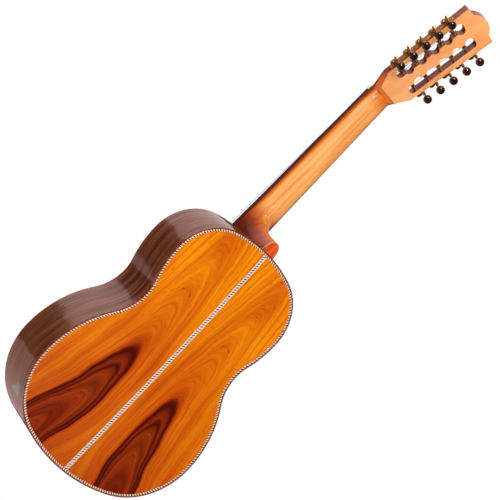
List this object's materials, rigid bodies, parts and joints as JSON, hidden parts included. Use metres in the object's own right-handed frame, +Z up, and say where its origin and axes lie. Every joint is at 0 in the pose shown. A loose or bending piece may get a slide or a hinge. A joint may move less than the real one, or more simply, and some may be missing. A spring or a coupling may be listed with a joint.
{
  "type": "guitar-bodied bouzouki",
  "caption": "Flat-backed, guitar-bodied long-neck lute with a slotted head, geared tuners at both sides and a bookmatched back with rope inlay.",
  "frame": {"origin": "where a wall hanger's yoke carries the flare of the head, on the centre plane, midway through the head's thickness", "axes": "+Z up the neck towards the head, +Y out of the back, +X to the player's left when seen from behind"},
  "size_m": [0.328, 0.1138, 0.939],
  "materials": {
    "spruce": "satin, pale straight-grained spruce",
    "rosette_inlay": "inlaid ring of light and dark wood",
    "edge_binding": "glossy red-brown wood binding",
    "rosewood": "glossy dark rosewood",
    "back_wood": "glossy orange-amber bookmatched wood with dark streaks",
    "rope_inlay": "rope marquetry of pale, black and dark red wood",
    "inner_wood": "bare, unlacquered",
    "neck_wood": "honey lacquer with a brown sunburst; bare-looking peach head back",
    "heel_cap_wood": "glossy red-orange",
    "white_line": "thin white line",
    "dark_wood": "oiled dark rosewood",
    "fret_metal": "nickel silver",
    "bone": "polished bone",
    "brass": "polished, lightly aged",
    "button_plastic": "glossy dark moulded plastic",
    "string_steel": "plain and wound steel"
  },
  "bodies": {
    "instrument": {"soundboard": "spruce", "rosette": "rosette_inlay", "top_binding": "edge_binding", "side_left": "rosewood", "side_right": "rosewood", "back_left": "back_wood", "back_right": "back_wood", "back_centre_strip": "rope_inlay", "back_purfling": "rope_inlay", "back_binding": "edge_binding", "head_block": "inner_wood", "tail_block": "inner_wood", "top_linings": "inner_wood", "back_linings": "inner_wood", "top_braces": "spruce", "back_braces": "spruce", "bridge_plate": "inner_wood", "neck": "neck_wood", "head_veneer": "rosewood", "heel_cap": "heel_cap_wood", "heel_cap_line": "white_line", "fretboard": "dark_wood", "frets": "fret_metal", "nut": "bone", "bridge": "dark_wood", "saddle": "bone", "tuner_plate_right": "brass", "tuner_plate_left": "brass", "plate_screws": "brass", "strings": "string_steel"},
    "button_right_1": {"tuner_right_1_worm": "brass", "tuner_right_1_button": "button_plastic"},
    "roller_right_1": {"tuner_right_1_roller": "brass"},
    "button_right_2": {"tuner_right_2_worm": "brass", "tuner_right_2_button": "button_plastic"},
    "roller_right_2": {"tuner_right_2_roller": "brass"},
    "button_right_3": {"tuner_right_3_worm": "brass", "tuner_right_3_button": "button_plastic"},
    "roller_right_3": {"tuner_right_3_roller": "brass"},
    "button_right_4": {"tuner_right_4_worm": "brass", "tuner_right_4_button": "button_plastic"},
    "roller_right_4": {"tuner_right_4_roller": "brass"},
    "button_right_5": {"tuner_right_5_worm": "brass", "tuner_right_5_button": "button_plastic"},
    "roller_right_5": {"tuner_right_5_roller": "brass"},
    "button_left_1": {"tuner_left_1_worm": "brass", "tuner_left_1_button": "button_plastic"},
    "roller_left_1": {"tuner_left_1_roller": "brass"},
    "button_left_2": {"tuner_left_2_worm": "brass", "tuner_left_2_button": "button_plastic"},
    "roller_left_2": {"tuner_left_2_roller": "brass"},
    "button_left_3": {"tuner_left_3_worm": "brass", "tuner_left_3_button": "button_plastic"},
    "roller_left_3": {"tuner_left_3_roller": "brass"},
    "button_left_4": {"tuner_left_4_worm": "brass", "tuner_left_4_button": "button_plastic"},
    "roller_left_4": {"tuner_left_4_roller": "brass"},
    "button_left_5": {"tuner_left_5_worm": "brass", "tuner_left_5_button": "button_plastic"},
    "roller_left_5": {"tuner_left_5_roller": "brass"}
  },
  "joints": [
    {"name": "turn_right_1", "type": "hinge", "parent": "instrument", "child": "button_right_1", "pos_m": [-0.03822, 0.01245, 0.03947], "axis": [0, 0.9537, -0.3007], "continuous": true},
    {"name": "wind_right_1", "type": "hinge", "parent": "instrument", "child": "roller_right_1", "pos_m": [-0.03233, 0.0104, 0.033], "axis": [-0.9996, -0.0084, -0.0268], "continuous": true},
    {"name": "turn_right_2", "type": "hinge", "parent": "instrument", "child": "button_right_2", "pos_m": [-0.03891, 0.01978, 0.06274], "axis": [0, 0.9537, -0.3007], "continuous": true},
    {"name": "wind_right_2", "type": "hinge", "parent": "instrument", "child": "roller_right_2", "pos_m": [-0.03302, 0.01774, 0.05627], "axis": [-0.9996, -0.0084, -0.0268], "continuous": true},
    {"name": "turn_right_3", "type": "hinge", "parent": "instrument", "child": "button_right_3", "pos_m": [-0.03959, 0.02712, 0.08601], "axis": [0, 0.9537, -0.3007], "continuous": true},
    {"name": "wind_right_3", "type": "hinge", "parent": "instrument", "child": "roller_right_3", "pos_m": [-0.0337, 0.02508, 0.07954], "axis": [-0.9996, -0.0084, -0.0268], "continuous": true},
    {"name": "turn_right_4", "type": "hinge", "parent": "instrument", "child": "button_right_4", "pos_m": [-0.04028, 0.03446, 0.10928], "axis": [0, 0.9537, -0.3007], "continuous": true},
    {"name": "wind_right_4", "type": "hinge", "parent": "instrument", "child": "roller_right_4", "pos_m": [-0.03439, 0.03242, 0.10281], "axis": [-0.9996, -0.0084, -0.0268], "continuous": true},
    {"name": "turn_right_5", "type": "hinge", "parent": "instrument", "child": "button_right_5", "pos_m": [-0.04096, 0.04179, 0.13255], "axis": [0, 0.9537, -0.3007], "continuous": true},
    {"name": "wind_right_5", "type": "hinge", "parent": "instrument", "child": "roller_right_5", "pos_m": [-0.03507, 0.03975, 0.12608], "axis": [-0.9996, -0.0084, -0.0268], "continuous": true},
    {"name": "turn_left_1", "type": "hinge", "parent": "instrument", "child": "button_left_1", "pos_m": [0.03822, 0.01245, 0.03947], "axis": [0, 0.9537, -0.3007], "continuous": true},
    {"name": "wind_left_1", "type": "hinge", "parent": "instrument", "child": "roller_left_1", "pos_m": [0.03233, 0.0104, 0.033], "axis": [0.9996, -0.0084, -0.0268], "continuous": true},
    {"name": "turn_left_2", "type": "hinge", "parent": "instrument", "child": "button_left_2", "pos_m": [0.03891, 0.01978, 0.06274], "axis": [0, 0.9537, -0.3007], "continuous": true},
    {"name": "wind_left_2", "type": "hinge", "parent": "instrument", "child": "roller_left_2", "pos_m": [0.03302, 0.01774, 0.05627], "axis": [0.9996, -0.0084, -0.0268], "continuous": true},
    {"name": "turn_left_3", "type": "hinge", "parent": "instrument", "child": "button_left_3", "pos_m": [0.03959, 0.02712, 0.08601], "axis": [0, 0.9537, -0.3007], "continuous": true},
    {"name": "wind_left_3", "type": "hinge", "parent": "instrument", "child": "roller_left_3", "pos_m": [0.0337, 0.02508, 0.07954], "axis": [0.9996, -0.0084, -0.0268], "continuous": true},
    {"name": "turn_left_4", "type": "hinge", "parent": "instrument", "child": "button_left_4", "pos_m": [0.04028, 0.03446, 0.10928], "axis": [0, 0.9537, -0.3007], "continuous": true},
    {"name": "wind_left_4", "type": "hinge", "parent": "instrument", "child": "roller_left_4", "pos_m": [0.03439, 0.03242, 0.10281], "axis": [0.9996, -0.0084, -0.0268], "continuous": true},
    {"name": "turn_left_5", "type": "hinge", "parent": "instrument", "child": "button_left_5", "pos_m": [0.04096, 0.04179, 0.13255], "axis": [0, 0.9537, -0.3007], "continuous": true},
    {"name": "wind_left_5", "type": "hinge", "parent": "instrument", "child": "roller_left_5", "pos_m": [0.03507, 0.03975, 0.12608], "axis": [0.9996, -0.0084, -0.0268], "continuous": true}
  ],
  "couplings": [
    {"joint": "wind_right_1", "follows": "turn_right_1", "ratio": -0.071429},
    {"joint": "wind_right_2", "follows": "turn_right_2", "ratio": -0.071429},
    {"joint": "wind_right_3", "follows": "turn_right_3", "ratio": -0.071429},
    {"joint": "wind_right_4", "follows": "turn_right_4", "ratio": -0.071429},
    {"joint": "wind_right_5", "follows": "turn_right_5", "ratio": -0.071429},
    {"joint": "wind_left_1", "follows": "turn_left_1", "ratio": -0.071429},
    {"joint": "wind_left_2", "follows": "turn_left_2", "ratio": -0.071429},
    {"joint": "wind_left_3", "follows": "turn_left_3", "ratio": -0.071429},
    {"joint": "wind_left_4", "follows": "turn_left_4", "ratio": -0.071429},
    {"joint": "wind_left_5", "follows": "turn_left_5", "ratio": -0.071429}
  ]
}
